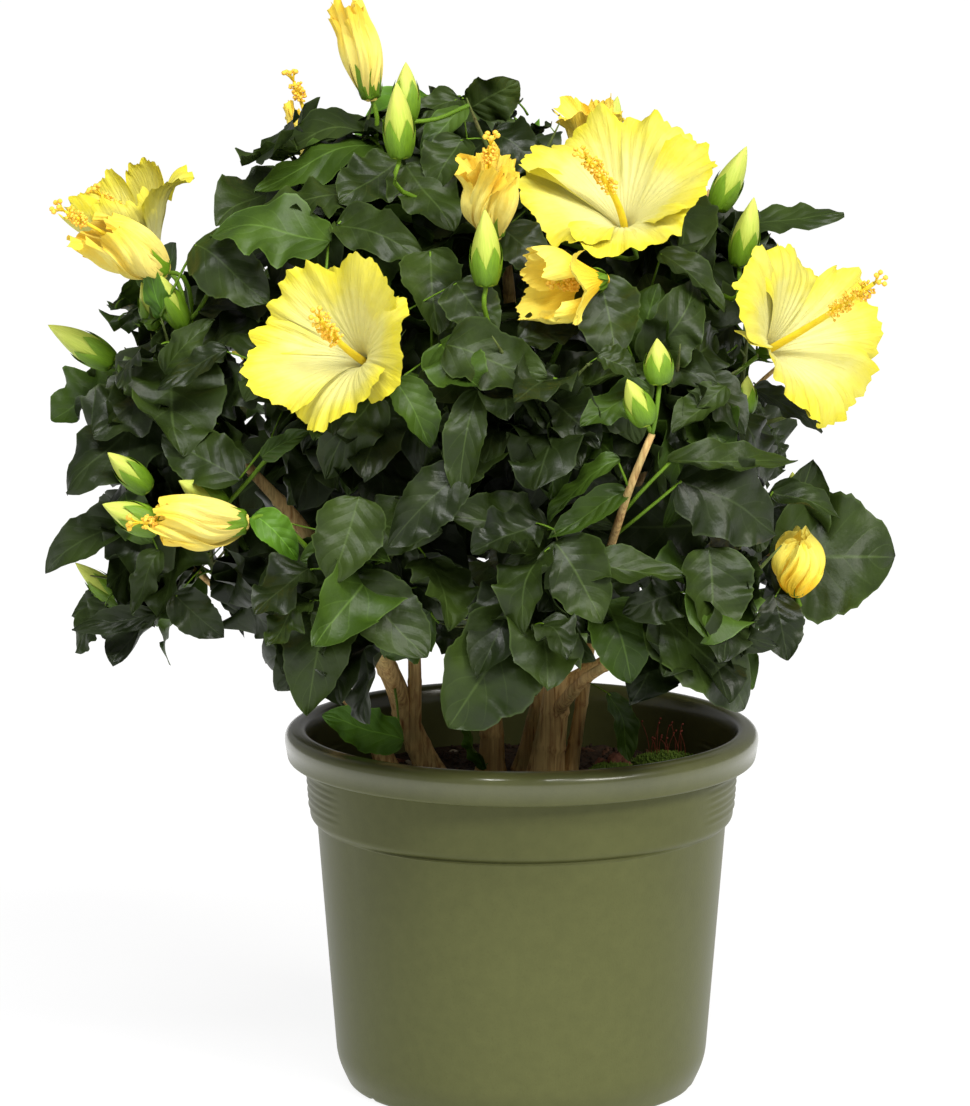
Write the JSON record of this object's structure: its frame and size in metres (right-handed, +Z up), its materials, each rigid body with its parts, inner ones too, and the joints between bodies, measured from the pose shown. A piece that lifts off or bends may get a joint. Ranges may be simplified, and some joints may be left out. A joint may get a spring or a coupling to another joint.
{
  "type": "hibiscus shrub in planter",
  "caption": "Bushy evergreen shrub with large ruffled yellow trumpet flowers and dark glossy leaves, growing on several woody stems from a round rolled-rim nursery pot.",
  "frame": {"origin": "centre of the pot's flat underside, on the surface that it stands on", "axes": "+Z up, along the pot's axis; -Y towards the side that shows the most open flowers"},
  "size_m": [0.6162, 0.5937, 0.7918],
  "materials": {
    "pot_plastic": "satin olive green",
    "potting_soil": "crumbly, dark",
    "moss": "velvety",
    "bark": "matt, finely fissured",
    "foliage": "glossy dark green leaves, with yellow blossom"
  },
  "bodies": {
    "root": {"bough_back_left": "bark", "bough_back_right": "bark", "bough_cane": "bark", "bough_front_left": "bark", "bough_front_left_middle": "bark", "bough_front_low": "bark", "bough_front_middle": "bark", "bough_front_right": "bark", "bough_right_low": "bark", "bough_right_middle": "bark", "bough_shoot": "bark", "bough_top_back": "bark", "leaves_back_left_low": "foliage", "leaves_back_left_middle": "foliage", "leaves_back_right_low": "foliage", "leaves_back_right_middle": "foliage", "leaves_front_left_low": "foliage", "leaves_front_left_middle": "foliage", "leaves_front_low": "foliage", "leaves_front_middle": "foliage", "leaves_front_right_low": "foliage", "leaves_front_right_middle": "foliage", "leaves_left_low": "foliage", "leaves_left_middle": "foliage", "leaves_right_low": "foliage", "leaves_right_middle": "foliage", "leaves_top_back": "foliage", "leaves_top_left": "foliage", "leaves_top_middle": "foliage", "leaves_top_right": "foliage", "moss_middle": "moss", "moss_right": "moss", "pot": "pot_plastic", "soil": "potting_soil", "stem_centre": "bark", "stem_far_left": "bark", "stem_left": "bark", "stem_rear": "bark", "stem_stub": "bark", "stem_thin": "bark"}
  },
  "joints": []
}
